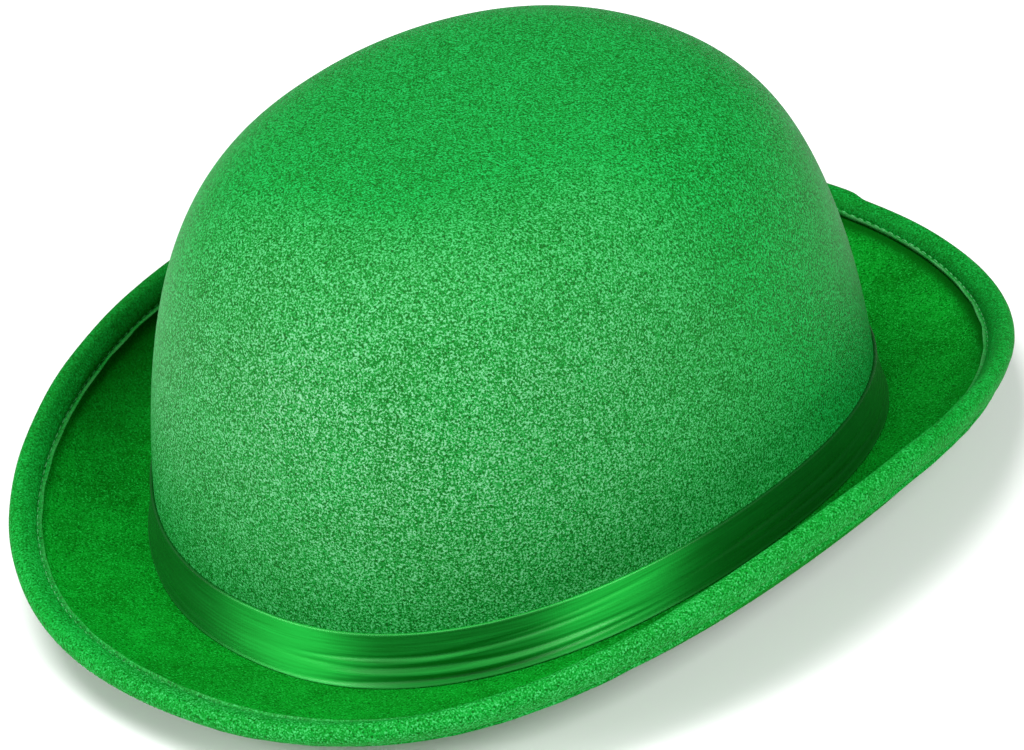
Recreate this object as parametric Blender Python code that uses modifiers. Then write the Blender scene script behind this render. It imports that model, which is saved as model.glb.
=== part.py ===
"""Bowler hat: a stiff domed crown covered in velour, a wired and bound brim that curls up at the
sides, a ribbon band with its keeper, a sweatband and a two-piece lining.

Metres, +Z up, the front of the brim towards -Y.  The hat stands on the undersides of the front and
the back of its brim, at z = 0.
"""

import math

import bpy
import numpy as np

# Crown, measured on the outer face of its cover
CROWN_HALF_LENGTH = 0.106  # front to back, where it meets the brim
CROWN_HALF_WIDTH = 0.090  # side to side, where it meets the brim
CROWN_HEIGHT = 0.1065  # from the brim join at the sides to the top of the dome
OVAL_POWER = 2.18  # 2 is an ellipse, a larger power is squarer
WALL_POWER = 6.0  # a larger power keeps the wall upright for longer
DOME_POWER = 1.75  # a larger power makes the shoulder of the dome fuller
DOME_PEAK = 0.008  # the last part of the height, which keeps the very top rounded
JOIN_DIP = 0.0117  # the join at the front and the back lies this far below the join at the sides

# Brim, measured on its middle surface
BRIM_LENGTH_ENDS = 0.0391  # front and back, from the foot of the band to the rim
BRIM_LENGTH_SIDES = 0.0370
BRIM_RISE_ENDS = math.radians(19.5)  # slope where the brim leaves the crown
BRIM_RISE_SIDES = math.radians(9.5)
RIM_SLOPE_ENDS = math.radians(26.0)  # slope at the rim
RIM_SLOPE_SIDES = math.radians(74.0)
CURL_START_ENDS = 0.85  # share of the brim's length where its curl starts
CURL_START_SIDES = 0.0
CURL_BLEND = 0.5  # how softly the ends pass into the sides

# Materials' thicknesses and the room between neighbouring pieces
VELOUR_THICKNESS = 0.0007
SHELL_THICKNESS = 0.0014
BOARD_THICKNESS = 0.0014
BINDING_THICKNESS = 0.0008
RIBBON_THICKNESS = 0.0006
SWEATBAND_THICKNESS = 0.0010
LINING_THICKNESS = 0.0004
GAP = 0.0003

# Collar, where the brim board turns up inside the crown
COLLAR_HEIGHT = 0.0120  # above the join
COLLAR_BEND = 0.0022  # radius of the turn, on the board's middle surface

# Band
BAND_HEIGHT_ENDS = 0.0160
BAND_HEIGHT_SIDES = 0.0140
BAND_FOOT = 0.0027  # the foot of the band stands out from the crown by this much
KEEPER_WIDTH = 0.0120
KEEPER_FOOT = 0.0010  # above the join, clear of the brim's slope
KEEPER_OVERHANG = 0.0004  # above the band

# Edge of the brim
BINDING_WIDTH = 0.0055  # from the middle of the rolled edge to the binding's cut edge
STITCH_INSET = 0.0045  # from the middle of the rolled edge to the row of stitches
WIRE_RADIUS = 0.0007
THREAD_RADIUS = 0.00025

# Inside
SWEATBAND_TOP = 0.0300  # above the join
SWEATBAND_DROP = 0.0020  # below the join
SWEATBAND_STITCH_LEVEL = 0.0040
LINING_START = 0.0140  # above the join, behind the sweatband
LINING_DROP = 0.0005  # extra room between the lining and the shell
TIP_SHARE = 0.60  # size of the lining's oval tip against the crown

# Facets
SEGMENTS = 40
DOME_RINGS = 9
LINING_RINGS = 4
TIP_RINGS = 3
BRIM_RINGS = 5
BEND_STEPS = 2
ROLL_STEPS = 5

BRIM_HALF = BOARD_THICKNESS / 2 + GAP + VELOUR_THICKNESS
ROLL_RADIUS = BRIM_HALF + GAP + BINDING_THICKNESS
SHELL_DEPTH = VELOUR_THICKNESS + GAP
COLLAR_DEPTH = SHELL_DEPTH + SHELL_THICKNESS + GAP
SWEATBAND_DEPTH = COLLAR_DEPTH + BOARD_THICKNESS + GAP
LINING_DEPTH = SHELL_DEPTH + SHELL_THICKNESS + GAP + LINING_DROP
QUARTER = math.pi / 2
TOP_TURN = 1e-4  # the last even turn stops this short of the very top

# Facets sit half a step round, so a level facet crosses the front, the back and each side.
ANGLES = (np.arange(SEGMENTS) + 0.5) * 2 * math.pi / SEGMENTS
LOWEST_DIP = JOIN_DIP * math.cos(math.pi / SEGMENTS) ** 2
JOIN_LEVEL = LOWEST_DIP + GAP + 2 * BRIM_HALF


def signed_power(value, power):
    return np.sign(value) * np.abs(value) ** power


def oval(angle):
    """Plan outline of the crown's foot and the direction straight out from it."""
    cosine, sine = np.cos(angle), np.sin(angle)
    outline = np.stack(
        [CROWN_HALF_WIDTH * signed_power(cosine, 2 / OVAL_POWER),
         CROWN_HALF_LENGTH * signed_power(sine, 2 / OVAL_POWER)], axis=-1)
    bend = 2 * (OVAL_POWER - 1) / OVAL_POWER
    outward = np.stack(
        [signed_power(cosine, bend) / CROWN_HALF_WIDTH,
         signed_power(sine, bend) / CROWN_HALF_LENGTH], axis=-1)
    outward /= np.linalg.norm(outward, axis=-1, keepdims=True)
    return outline, outward


def join_height(angle):
    """Height of the line where crown and brim meet: high at the sides, low at the ends."""
    return JOIN_LEVEL - JOIN_DIP * np.sin(angle) ** 2


def crown_face(angle, turn):
    """Outer face of the crown.  turn goes from 0 at the foot to a quarter turn at the top."""
    spread = np.cos(turn) ** (2 / WALL_POWER)
    climb = np.sin(turn) ** (2 / DOME_POWER)
    outline, _ = oval(angle)
    foot = join_height(angle)
    shoulder = JOIN_LEVEL + CROWN_HEIGHT - DOME_PEAK
    height = foot + (shoulder - foot) * climb + DOME_PEAK * (1 - spread ** 2)
    return np.stack([outline[..., 0] * spread, outline[..., 1] * spread, height], axis=-1)


def crown_layer(angle, turn, depth):
    """Points at a depth under the crown's outer face, straight in; a negative depth is outside."""
    angle, turn = np.broadcast_arrays(angle, turn)
    step = 1e-6
    around = crown_face(angle + step, turn) - crown_face(angle - step, turn)
    upward = crown_face(angle, turn + step) - crown_face(angle, np.maximum(turn - step, 0))
    normal = np.cross(around, upward)
    normal /= np.linalg.norm(normal, axis=-1, keepdims=True)
    return crown_face(angle, turn) - normal * np.asarray(depth)[..., None]


def turn_at(height, angle):
    """The crown's turn at a height above the join."""
    shoulder = JOIN_LEVEL + CROWN_HEIGHT - DOME_PEAK
    return np.arcsin((height / (shoulder - join_height(angle))) ** (DOME_POWER / 2))


def even_turns(first, last, count):
    """Turns between two turns, at even distances along the crown's outline."""
    eased = QUARTER * (1 - (1 - np.linspace(0, 1, 4001)) ** 4)
    line = crown_face(math.pi / 4, eased)
    length = np.concatenate([[0], np.cumsum(np.linalg.norm(np.diff(line, axis=0), axis=1))])
    ends = np.interp([first, last], eased, length)
    return np.interp(np.linspace(ends[0], ends[1], count), length, eased)


def crown_turns():
    """Turns of the crown's rings: at the foot, the collar's top, the sweatband's top, then evenly."""
    wall = [turn_at(height, ANGLES) for height in (0.0, COLLAR_HEIGHT, SWEATBAND_TOP)]
    dome = even_turns(np.max(wall[-1]), QUARTER - TOP_TURN, DOME_RINGS + 1)[1:-1]
    return np.stack(wall + [np.full(SEGMENTS, turn) for turn in dome])


def lean_at(height):
    """How far the crown's wall has leaned in at a height above the join."""
    outline, outward = oval(ANGLES)
    wall = crown_face(ANGLES, turn_at(height, ANGLES))[:, :2]
    return np.sum((outline - wall) * outward, axis=-1)


def side_share(angle):
    """0 at the front and the back, 1 at the sides, passing softly."""
    across = np.sqrt(np.cos(angle) ** 2 + CURL_BLEND ** 2) - CURL_BLEND
    return across / (math.sqrt(1 + CURL_BLEND ** 2) - CURL_BLEND)


def brim_line(angle, stations):
    """Middle surface of the brim, outwards and upwards from its start, at distances from the rim.

    The slope stays the same up to the start of the curl and then turns steadily to the rim's.
    Each station is (share of the brim's length, metres added to it).
    """
    share = side_share(angle)[:, None]
    length = BRIM_LENGTH_ENDS + (BRIM_LENGTH_SIDES - BRIM_LENGTH_ENDS) * share
    rise = BRIM_RISE_ENDS + (BRIM_RISE_SIDES - BRIM_RISE_ENDS) * share
    rim = RIM_SLOPE_ENDS + (RIM_SLOPE_SIDES - RIM_SLOPE_ENDS) * share
    start = CURL_START_ENDS + (CURL_START_SIDES - CURL_START_ENDS) * share
    fine = np.linspace(0, 1, 801)
    curl = np.clip((fine - start) / (1 - start), 0, 1)
    slope = rise + (rim - rise) * (0.5 * curl * curl * (3 - 2 * curl) + 0.5 * curl)
    line = np.stack([np.cos(slope), np.sin(slope)], axis=-1) * length[..., None]
    middles = (line[:, 1:] + line[:, :-1]) / 2 * (fine[1] - fine[0])
    line = np.concatenate([np.zeros_like(line[:, :1]), np.cumsum(middles, axis=1)], axis=1)
    wanted = np.stack([part + extra / length[:, 0] for part, extra in stations], axis=1)
    return np.stack([[np.interp(row, fine, axis) for axis in run.T]
                     for row, run in zip(wanted, line)]).transpose(0, 2, 1)


def brim_path(angle, stations):
    """The brim line in the upright plane across the join, from the crown's outer face."""
    return brim_line(angle, stations) + np.array([BAND_FOOT, -GAP - BRIM_HALF])


def offset_path(path, distance):
    """A path moved to its left by a distance, with mitred corners."""
    run = np.diff(path, axis=-2)
    run /= np.linalg.norm(run, axis=-1, keepdims=True)
    left = np.stack([-run[..., 1], run[..., 0]], axis=-1)
    before = np.concatenate([left[..., :1, :], left], axis=-2)
    after = np.concatenate([left, left[..., -1:, :]], axis=-2)
    mitre = (before + after) / (1 + np.sum(before * after, axis=-1, keepdims=True))
    return path + mitre * distance


def strip_section(path, low, high, first=0):
    """Closed outline of a strip between two distances to the left of a path, from its first point."""
    upper = offset_path(path, high)[:, first:]
    lower = offset_path(path, low)[:, first:]
    return np.concatenate([upper, lower[:, ::-1]], axis=1)


def stand_section(section):
    """A section in the upright plane across the join, set up in space at every facet angle."""
    outline, outward = oval(ANGLES)
    plan = outline[:, None, :] + outward[:, None, :] * section[..., :1]
    height = join_height(ANGLES)[:, None, None] + section[..., 1:]
    return np.concatenate([plan, height], axis=-1)


def add_object(name, points, faces, material):
    mesh = bpy.data.meshes.new(name)
    mesh.from_pydata([tuple(point) for point in points], [], faces)
    mesh.validate()
    mesh.materials.append(material)
    mesh.shade_smooth()
    mesh.set_sharp_from_angle(angle=math.radians(35))
    piece = bpy.data.objects.new(name, mesh)
    hat.objects.link(piece)
    return piece


def grid_faces(rows, columns, wrap_columns):
    """Quads between neighbouring points of a grid whose points run along its rows."""
    faces = []
    for row in range(rows - 1):
        for column in range(columns if wrap_columns else columns - 1):
            near, far = row * columns, (row + 1) * columns
            beside = (column + 1) % columns
            faces.append((near + column, near + beside, far + beside, far + column))
    return faces


def add_ring(name, sections, material):
    """A closed ring lofted through one closed section at every facet angle.

    A section runs out along one side and back along the other.  The triangles lean the same way on
    both sides, so that neighbouring rings keep an even gap where the brim twists.
    """
    rows, columns = sections.shape[:2]
    faces = []
    for row in range(rows):
        near, far = row * columns, (row + 1) % rows * columns
        for column in range(columns):
            beside = (column + 1) % columns
            if column < columns // 2:
                faces.append((near + column, near + beside, far + beside))
                faces.append((near + column, far + beside, far + column))
            else:
                faces.append((near + column, near + beside, far + column))
                faces.append((near + beside, far + beside, far + column))
    return add_object(name, sections.reshape(-1, 3), faces, material)


def add_shell(name, turns, depth, thickness, material, closed_top):
    """A layer of the crown through rings at the given turns, thickened inwards from its depth."""
    rows = crown_layer(ANGLES, turns, depth)
    count = len(turns)
    faces = grid_faces(count, SEGMENTS, True)
    points = rows.reshape(-1, 3)
    if closed_top:
        top = (0, 0, JOIN_LEVEL + CROWN_HEIGHT - depth)
        points = np.concatenate([points, [top]])
        last = (count - 1) * SEGMENTS
        faces += [(last + k, last + (k + 1) % SEGMENTS, count * SEGMENTS) for k in range(SEGMENTS)]
    piece = add_object(name, points, faces, material)
    thicken(piece, thickness)
    return piece


def thicken(piece, thickness):
    solidify = piece.modifiers.new("thickness", "SOLIDIFY")
    solidify.thickness = thickness
    solidify.offset = -1
    solidify.use_even_offset = True


def add_loop(name, points, radius, material):
    """A wire or a thread that closes on itself."""
    curve = bpy.data.curves.new(name, "CURVE")
    curve.dimensions = "3D"
    curve.bevel_depth = radius
    curve.bevel_resolution = 1
    spline = curve.splines.new("POLY")
    spline.points.add(len(points) - 1)
    for place, point in zip(spline.points, points):
        place.co = (*point, 1)
    spline.use_cyclic_u = True
    curve.materials.append(material)
    piece = bpy.data.objects.new(name, curve)
    hat.objects.link(piece)
    return piece


def make_material(name, colour, roughness, metallic=0.0):
    material = bpy.data.materials.new(name)
    material.use_nodes = True
    shader = material.node_tree.nodes["Principled BSDF"]
    shader.inputs["Base Color"].default_value = (*colour, 1)
    shader.inputs["Roughness"].default_value = roughness
    shader.inputs["Metallic"].default_value = metallic
    return material


def make_crown():
    turns = crown_turns()
    add_shell("crown_cover", turns, 0, VELOUR_THICKNESS, velour, True)
    add_shell("crown_shell", turns, SHELL_DEPTH, SHELL_THICKNESS, stiff_body, True)


def make_lining():
    """Side strip and oval tip, with a seam's gap between them."""
    tip_turn = math.acos(TIP_SHARE ** (WALL_POWER / 2))
    seam = GAP / (CROWN_HALF_WIDTH * TIP_SHARE)
    side_end = math.acos((TIP_SHARE * (1 + seam)) ** (WALL_POWER / 2))
    start = float(turn_at(LINING_START, 0.0))
    side_turns = even_turns(start, side_end, LINING_RINGS + 1)
    tip_turns = even_turns(tip_turn, QUARTER - TOP_TURN, TIP_RINGS + 1)[:-1]
    add_shell("lining_side", side_turns[:, None], LINING_DEPTH, LINING_THICKNESS, satin, False)
    add_shell("lining_tip", tip_turns[:, None], LINING_DEPTH, LINING_THICKNESS, satin, True)


def brim_stack_path():
    """Middle surface of the board: collar, turn, level foot and brim.

    Its last stations are the binding's own, so that the facets of the two run parallel.
    """
    collar = -COLLAR_DEPTH - BOARD_THICKNESS / 2
    level = -GAP - BRIM_HALF
    bend_angle = np.linspace(math.pi, 1.5 * math.pi, BEND_STEPS + 1)
    bend = np.stack([collar + COLLAR_BEND * (1 + np.cos(bend_angle)),
                     level + COLLAR_BEND * (1 + np.sin(bend_angle))], axis=-1)
    top = np.stack([collar - lean_at(COLLAR_HEIGHT), np.full(SEGMENTS, COLLAR_HEIGHT)], axis=-1)
    bend = np.broadcast_to(bend, (SEGMENTS, *bend.shape))
    inside = np.concatenate([top[:, None], bend], axis=1)
    stations = [(share, -BINDING_WIDTH * share) for share in np.linspace(0, 1, BRIM_RINGS)]
    stations += [(1, -BINDING_WIDTH / 2), (1, -WIRE_RADIUS - GAP)]
    return np.concatenate([inside, brim_path(ANGLES, stations)], axis=1)


def make_brim():
    path = brim_stack_path()
    half_board = BOARD_THICKNESS / 2
    add_ring("brim_board", stand_section(strip_section(path, -half_board, half_board)), board)
    level_start = BEND_STEPS + 1  # the collar's top comes first, then the turn
    top = strip_section(path, half_board + GAP, BRIM_HALF, level_start)
    add_ring("brim_top_cover", stand_section(top), brim_velour)
    under = strip_section(path, -BRIM_HALF, -half_board - GAP, level_start - 1)
    add_ring("brim_under_cover", stand_section(under), brim_velour)


def make_edge():
    """Binding folded round the edge, its row of stitches, and the wire in the fold."""
    stations = [(1, -BINDING_WIDTH * share) for share in (1, 0.5, 0)]
    flat = brim_path(ANGLES, stations)
    middle = BRIM_HALF + GAP + BINDING_THICKNESS / 2
    over = offset_path(flat, middle)
    centre = flat[:, -1:]
    along = flat[:, -1:] - flat[:, -2:-1]
    along /= np.linalg.norm(along, axis=-1, keepdims=True)
    upward = np.stack([-along[..., 1], along[..., 0]], axis=-1)
    roll_angle = np.linspace(0, math.pi, ROLL_STEPS + 1)[None, 1:-1, None]
    roll = centre + middle * (np.sin(roll_angle) * along + np.cos(roll_angle) * upward)
    fold = np.concatenate([over, roll, offset_path(flat, -middle)[:, ::-1]], axis=1)
    half = BINDING_THICKNESS / 2
    add_ring("edge_binding", stand_section(strip_section(fold, -half, half)), binding_velour)
    wire = stand_section(centre + along * (WIRE_RADIUS / 2))[:, 0]
    add_loop("edge_wire", wire, WIRE_RADIUS, steel)
    inset = brim_path(ANGLES, [(1, -STITCH_INSET), (1, -STITCH_INSET / 2)])
    lifted = offset_path(inset, ROLL_RADIUS + GAP + THREAD_RADIUS)[:, :1]
    add_loop("binding_stitch", stand_section(lifted)[:, 0], THREAD_RADIUS, thread)


def band_rows(angle, lift, foot, overhang):
    """Rows of points up the band, a lift out from the crown and most at the foot of the band."""
    ends = np.sin(angle) ** 2
    height = BAND_HEIGHT_SIDES + (BAND_HEIGHT_ENDS - BAND_HEIGHT_SIDES) * ends
    flare = BAND_FOOT - GAP - RIBBON_THICKNESS
    rows = []
    for share in (0.0, 0.25, 0.6, 1.0):
        level = foot + share * (height + overhang - foot)
        spread = flare * np.maximum(1 - level / height, 0) ** 2
        rows.append(crown_layer(angle, turn_at(level, angle), -lift - spread))
    return np.stack(rows, axis=1)


def make_band():
    inner = band_rows(ANGLES, GAP, 0, 0)
    outer = band_rows(ANGLES, GAP + RIBBON_THICKNESS, 0, 0)
    sections = np.concatenate([outer[:, ::-1], inner], axis=1)
    add_ring("hatband", sections, ribbon)
    half_turn = math.asin((KEEPER_WIDTH / 2 / CROWN_HALF_WIDTH) ** (OVAL_POWER / 2))
    columns = np.linspace(QUARTER - half_turn, QUARTER + half_turn, 6)
    lift = 2 * (GAP + RIBBON_THICKNESS)
    face = band_rows(columns, lift, KEEPER_FOOT, KEEPER_OVERHANG).transpose(1, 0, 2)
    faces = grid_faces(*face.shape[:2], False)
    keeper = add_object("hatband_keeper", face.reshape(-1, 3), faces, ribbon)
    thicken(keeper, RIBBON_THICKNESS)


def make_sweatband():
    levels = (0.0, COLLAR_HEIGHT, (COLLAR_HEIGHT + SWEATBAND_TOP) / 2, SWEATBAND_TOP)
    faces = []
    for depth in (SWEATBAND_DEPTH, SWEATBAND_DEPTH + SWEATBAND_THICKNESS):
        rows = [crown_layer(ANGLES, turn_at(level, ANGLES), depth) for level in levels]
        foot = rows[0] - np.array([0, 0, SWEATBAND_DROP])
        faces.append(np.stack([foot, *rows], axis=1))
    sections = np.concatenate([faces[0][:, ::-1], faces[1]], axis=1)
    add_ring("sweatband", sections, tape)
    depth = SWEATBAND_DEPTH + SWEATBAND_THICKNESS + GAP + THREAD_RADIUS
    seam = crown_layer(ANGLES, turn_at(SWEATBAND_STITCH_LEVEL, ANGLES), depth)
    add_loop("sweatband_stitch", seam, THREAD_RADIUS, thread)


for old in list(bpy.data.objects):
    bpy.data.objects.remove(old, do_unlink=True)

hat = bpy.data.collections.new("bowler_hat")
bpy.context.scene.collection.children.link(hat)

velour = make_material("velour", (0.010, 0.330, 0.045), 0.9)
brim_velour = make_material("brim_velour", (0.006, 0.200, 0.026), 0.9)
binding_velour = make_material("binding_velour", (0.010, 0.350, 0.050), 0.85)
ribbon = make_material("satin_ribbon", (0.008, 0.240, 0.035), 0.35)
satin = make_material("satin_lining", (0.006, 0.190, 0.030), 0.4)
tape = make_material("sweatband_tape", (0.005, 0.120, 0.020), 0.8)
thread = make_material("thread", (0.060, 0.480, 0.090), 0.6)
stiff_body = make_material("stiff_body", (0.020, 0.160, 0.040), 0.8)
board = make_material("brim_board", (0.030, 0.150, 0.045), 0.8)
steel = make_material("steel_wire", (0.550, 0.560, 0.580), 0.35, 1.0)

make_crown()
make_lining()
make_brim()
make_edge()
make_band()
make_sweatband()
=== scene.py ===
import math

import bpy
import numpy as np
from mathutils import Matrix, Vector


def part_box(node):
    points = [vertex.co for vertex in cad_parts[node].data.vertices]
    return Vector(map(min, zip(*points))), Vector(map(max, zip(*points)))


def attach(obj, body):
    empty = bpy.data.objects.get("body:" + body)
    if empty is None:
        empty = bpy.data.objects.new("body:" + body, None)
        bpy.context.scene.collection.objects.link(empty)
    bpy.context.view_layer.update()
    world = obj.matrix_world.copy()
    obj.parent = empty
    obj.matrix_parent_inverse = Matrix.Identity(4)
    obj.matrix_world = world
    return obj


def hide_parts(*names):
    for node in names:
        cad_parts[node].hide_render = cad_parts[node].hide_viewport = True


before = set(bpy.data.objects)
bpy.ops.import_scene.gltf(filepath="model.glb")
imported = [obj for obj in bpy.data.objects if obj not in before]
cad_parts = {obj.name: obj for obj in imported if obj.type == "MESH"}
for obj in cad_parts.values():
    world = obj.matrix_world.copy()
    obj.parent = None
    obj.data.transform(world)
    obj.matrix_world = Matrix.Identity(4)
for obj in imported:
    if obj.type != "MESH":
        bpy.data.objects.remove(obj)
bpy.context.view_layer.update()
print("frame loaded:", len(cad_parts), "nodes")

quarter = math.pi / 2

# the hat's own shape, in metres, as the solids have it
crown = {
    "halfLength": 0.106,
    "halfWidth": 0.090,
    "height": 0.1065,
    "ovalPower": 2.18,
    "wallPower": 6.0,
    "domePower": 1.75,
    "peak": 0.008,
    "dip": 0.0117,
    "coverThickness": 0.0007,
}
brim = {
    "endLength": 0.0391,
    "sideLength": 0.0370,
    "endRise": math.radians(19.5),
    "sideRise": math.radians(9.5),
    "endRim": math.radians(26.0),
    "sideRim": math.radians(74.0),
    "endCurl": 0.85,
    "sideCurl": 0.0,
    "blend": 0.5,
    "half": 0.0017,
    "boardHalf": 0.0007,
    "gap": 0.0003,
    "foot": 0.0027,
    "fineSteps": 241,
}
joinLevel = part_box("crown_cover")[1][2] - crown["height"]  # the join's height at the sides
crownTop = joinLevel + crown["height"]
shoulder = crownTop - crown["peak"]


def signedPower(value, power):
    return np.sign(value) * np.abs(value) ** power


def oval(angle):
    # plan outline: half sizes times the cosine and sine, each raised to 2 over the oval's power
    cosine, sine = np.cos(angle), np.sin(angle)
    p = crown["ovalPower"]
    outline = np.stack([crown["halfWidth"] * signedPower(cosine, 2 / p),
                        crown["halfLength"] * signedPower(sine, 2 / p)], axis=-1)
    bend = 2 * (p - 1) / p
    outward = np.stack([signedPower(cosine, bend) / crown["halfWidth"],
                        signedPower(sine, bend) / crown["halfLength"]], axis=-1)
    return outline, outward / np.linalg.norm(outward, axis=-1, keepdims=True)


def joinHeight(angle):
    return joinLevel - crown["dip"] * np.sin(angle) ** 2


def crownFace(angle, turn):
    # the plan outline shrinks with the cosine of the turn and climbs with its sine, each to its power
    spread = np.cos(turn) ** (2 / crown["wallPower"])
    climb = np.sin(turn) ** (2 / crown["domePower"])
    outline, _ = oval(angle)
    foot = joinHeight(angle)
    height = foot + (shoulder - foot) * climb + crown["peak"] * (1 - spread ** 2)
    return np.stack([outline[..., 0] * spread, outline[..., 1] * spread, height], axis=-1)


def crownLayer(angle, turn, depth):
    # the crown's face moved straight in by a depth, along the cross product of its two directions
    angle, turn, depth = np.broadcast_arrays(angle, turn, depth)
    step = 1e-6
    around = crownFace(angle + step, turn) - crownFace(angle - step, turn)
    upward = crownFace(angle, turn + step) - crownFace(angle, np.maximum(turn - step, 0))
    normal = np.cross(around, upward)
    normal /= np.linalg.norm(normal, axis=-1, keepdims=True)
    return crownFace(angle, turn) - normal * depth[..., None]


def turnAt(height, angle):
    # the turn at which the crown's wall has climbed to a height above the join
    return np.arcsin((height / (shoulder - joinHeight(angle))) ** (crown["domePower"] / 2))


def evenTurns(first, last, count):
    # turns at even distances along the crown's outline
    eased = quarter * (1 - (1 - np.linspace(0, 1, 6001)) ** 4)
    line = crownFace(math.pi / 4, eased)
    length = runningLength(line)
    ends = np.interp([first, last], eased, length)
    return np.interp(np.linspace(ends[0], ends[1], count), length, eased)


def sideShare(angle):
    # 0 at the hat's ends and 1 at its sides: the length of a softened cosine
    blend = brim["blend"]
    return (np.sqrt(np.cos(angle) ** 2 + blend ** 2) - blend) / (math.sqrt(1 + blend ** 2) - blend)


def brimLength(angle):
    return brim["endLength"] + (brim["sideLength"] - brim["endLength"]) * sideShare(angle)


def brimPath(angle, back):
    # the brim's middle line across the join: its slope holds, then eases to the rim's slope, and the
    # line is the running sum of the slope's cosine and sine; back is the distance in from the rim
    share = sideShare(angle)[:, None]
    length = brimLength(angle)[:, None]
    rise = brim["endRise"] + (brim["sideRise"] - brim["endRise"]) * share
    rim = brim["endRim"] + (brim["sideRim"] - brim["endRim"]) * share
    start = brim["endCurl"] + (brim["sideCurl"] - brim["endCurl"]) * share
    fine = np.linspace(0, 1, brim["fineSteps"])
    curl = np.clip((fine - start) / (1 - start), 0, 1)
    slope = rise + (rim - rise) * (0.5 * curl * curl * (3 - 2 * curl) + 0.5 * curl)
    line = np.stack([np.cos(slope), np.sin(slope)], axis=-1) * length[..., None]
    steps = (line[:, 1:] + line[:, :-1]) / 2 * (fine[1] - fine[0])
    line = np.concatenate([np.zeros_like(line[:, :1]), np.cumsum(steps, axis=1)], axis=1)
    place = np.clip(1 - back / length, 0, 1) * (len(fine) - 1)
    low = np.minimum(place.astype(int), len(fine) - 2)
    part = (place - low)[..., None]
    rows = np.arange(len(angle))[:, None]
    path = line[rows, low] * (1 - part) + line[rows, low + 1] * part
    leaning = slope[rows, low] * (1 - part[..., 0]) + slope[rows, low + 1] * part[..., 0]
    path = path + np.array([brim["foot"], -brim["gap"] - brim["half"]])
    upward = np.stack([-np.sin(leaning), np.cos(leaning)], axis=-1)
    return path, upward


def stand(angle, section):
    # a section in the upright plane across the join, set up in space at each angle
    outline, outward = oval(angle)
    plan = outline[:, None, :] + outward[:, None, :] * section[..., :1]
    height = joinHeight(angle)[:, None, None] + section[..., 1:]
    return np.concatenate([plan, height], axis=-1)


def evenAngles(count, reach=0.0):
    # angles at even distances along an oval that lies a reach outside the crown's foot
    dense = np.linspace(0, 2 * math.pi, 7201)
    outline, outward = oval(dense)
    line = outline + outward * reach
    length = runningLength(line)
    return np.interp(np.arange(count) / count * length[-1], length, dense), length[-1]


def wayFrom(middle, angle):
    # the signed way round the hat from a middle angle, between minus and plus half a turn
    return np.mod(angle - middle + math.pi, 2 * math.pi) - math.pi


def ripple(angle, seed, waves, low):
    # a smooth closed curve between about -1 and 1: a sum of whole waves round the hat
    rng = np.random.default_rng(seed)
    orders = low + np.arange(waves)
    phases = rng.uniform(0, 2 * math.pi, waves)
    sizes = rng.uniform(0.4, 1.0, waves)
    total = np.sum(sizes[:, None] * np.cos(orders[:, None] * np.ravel(angle)[None] + phases[:, None]), 0)
    return (total / math.sqrt(np.sum(sizes ** 2) / 2) / 2).reshape(np.shape(angle))


def runningLength(line):
    return np.concatenate([[0], np.cumsum(np.linalg.norm(np.diff(line, axis=0), axis=1))])


noTriangles = np.zeros((0, 3), dtype=int)
noPlaces = np.zeros((0, 3, 2))


def showObject(name, data):
    shown = bpy.data.objects.new(name, data)
    bpy.context.scene.collection.objects.link(shown)
    return shown


def buildMesh(name, points, quads, uvQuads, material, marks=None, triangles=noTriangles,
              uvTriangles=noPlaces):
    mesh = bpy.data.meshes.new(name)
    corners = np.concatenate([quads.ravel(), triangles.ravel()]).astype(np.int32)
    starts = np.concatenate([np.arange(len(quads)) * 4,
                             len(quads) * 4 + np.arange(len(triangles)) * 3]).astype(np.int32)
    mesh.vertices.add(len(points))
    mesh.vertices.foreach_set("co", points.astype(np.float32).ravel())
    mesh.loops.add(len(corners))
    mesh.loops.foreach_set("vertex_index", corners)
    mesh.polygons.add(len(starts))
    mesh.polygons.foreach_set("loop_start", starts)
    mesh.update(calc_edges=True)
    layer = mesh.uv_layers.new(name="UVMap")
    uv = np.concatenate([uvQuads.reshape(-1, 2), uvTriangles.reshape(-1, 2)])
    layer.data.foreach_set("uv", uv.astype(np.float32).ravel())
    if marks is not None:
        layer = mesh.attributes.new("marks", "FLOAT", "POINT")
        layer.data.foreach_set("value", marks.astype(np.float32).ravel())
    mesh.validate()
    mesh.shade_smooth()
    mesh.materials.append(material)
    return showObject(name, mesh)


def gridUv(points):
    # distances in metres along one row and one column of a closed ring
    rows = np.concatenate([points, points[:1]])
    full = np.concatenate([rows, rows[:, :1]], axis=1)
    u = runningLength(full[:, full.shape[1] // 3])
    v = runningLength(full[len(full) // 3])
    return np.stack(np.meshgrid(u, v, indexing="ij"), axis=-1)


def gridQuads(rows, columns, wrapRows):
    # faces of a grid whose rows close on themselves, with the row and column of each corner
    r, c = np.meshgrid(np.arange(rows if wrapRows else rows - 1), np.arange(columns), indexing="ij")
    beyond, beside = (r + 1) % rows, (c + 1) % columns
    quads = np.stack([r * columns + c, r * columns + beside, beyond * columns + beside,
                      beyond * columns + c], axis=-1)
    places = np.stack([r, r, r + 1, r + 1], axis=-1)
    sides = np.stack([c, c + 1, c + 1, c], axis=-1)
    return quads.reshape(-1, 4), places.reshape(-1, 4), sides.reshape(-1, 4)


def ringPiece(name, points, material, marks=None):
    # a closed ring: rows run round the hat and each row is one closed section
    uv = gridUv(points)
    quads, places, sides = gridQuads(*points.shape[:2], True)
    return buildMesh(name, points.reshape(-1, 3), quads, uv[places, sides], material, marks)


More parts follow.
